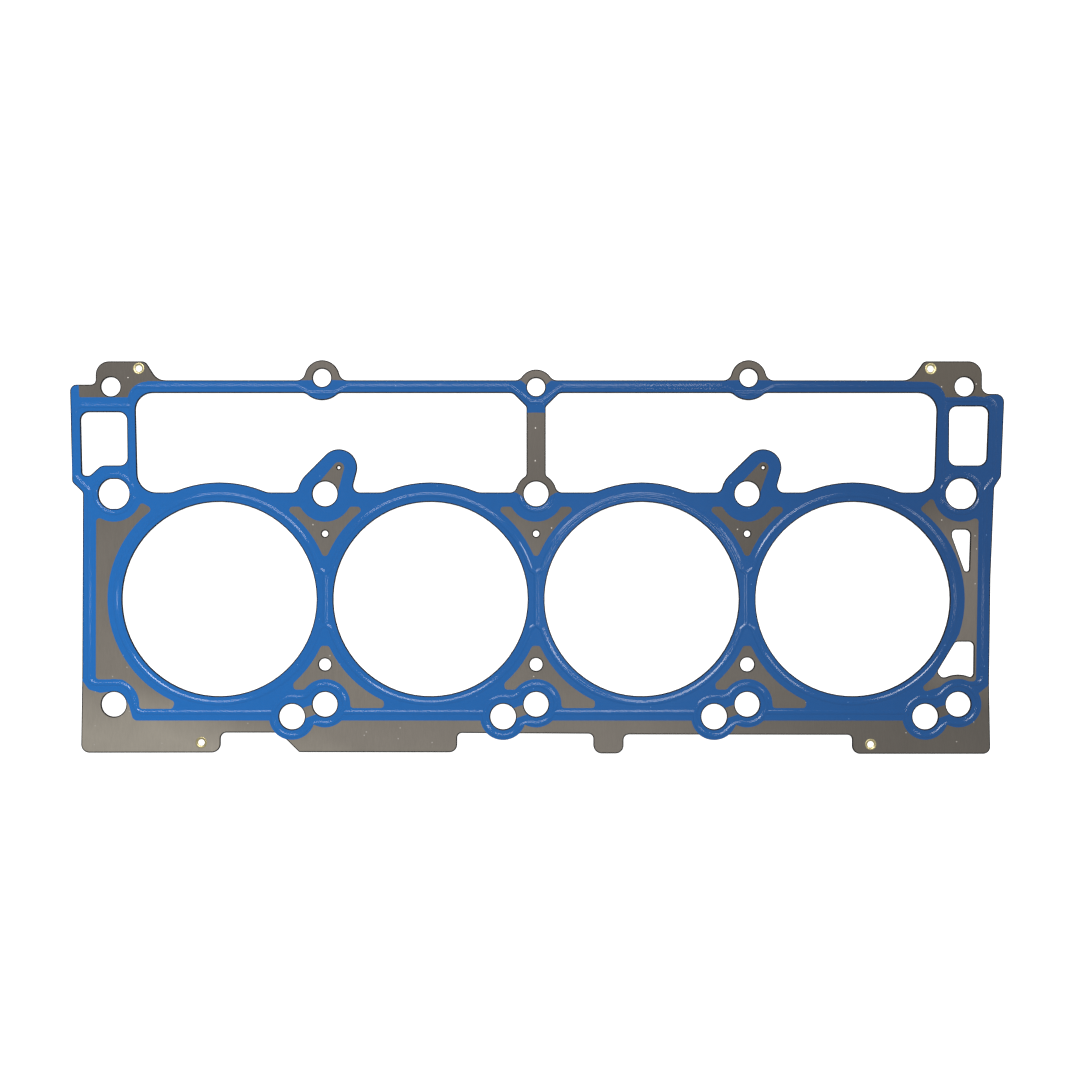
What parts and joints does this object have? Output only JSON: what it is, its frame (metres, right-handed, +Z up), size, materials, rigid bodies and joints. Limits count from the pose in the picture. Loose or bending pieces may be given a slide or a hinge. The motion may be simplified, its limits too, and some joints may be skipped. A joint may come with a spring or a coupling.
{
  "type": "cylinder head gasket",
  "caption": "Flat multi-layer steel gasket with round bores in a row, a rail with long windows, bolt holes, printed blue rubber and raised sealing beads.",
  "frame": {"origin": "centre of the bore row, on the plane that the lowest beads lie on", "axes": "+X along the bore row to the right of the picture, +Y towards the rail with the windows, +Z up through the sheet"},
  "size_m": [0.5015, 0.2114, 0.0016],
  "materials": {
    "steel": "fine brushed sheet",
    "rubber": "satin printed coating",
    "brass": "rolled eyelet"
  },
  "bodies": {
    "root": {"core_spacer": "steel", "upper_bead_layer": "steel", "lower_bead_layer": "steel", "upper_rubber_film": "rubber", "lower_rubber_film": "rubber", "eyelet_upper_left": "brass", "eyelet_upper_right": "brass", "eyelet_lower_left": "brass", "eyelet_lower_right": "brass"}
  },
  "joints": []
}
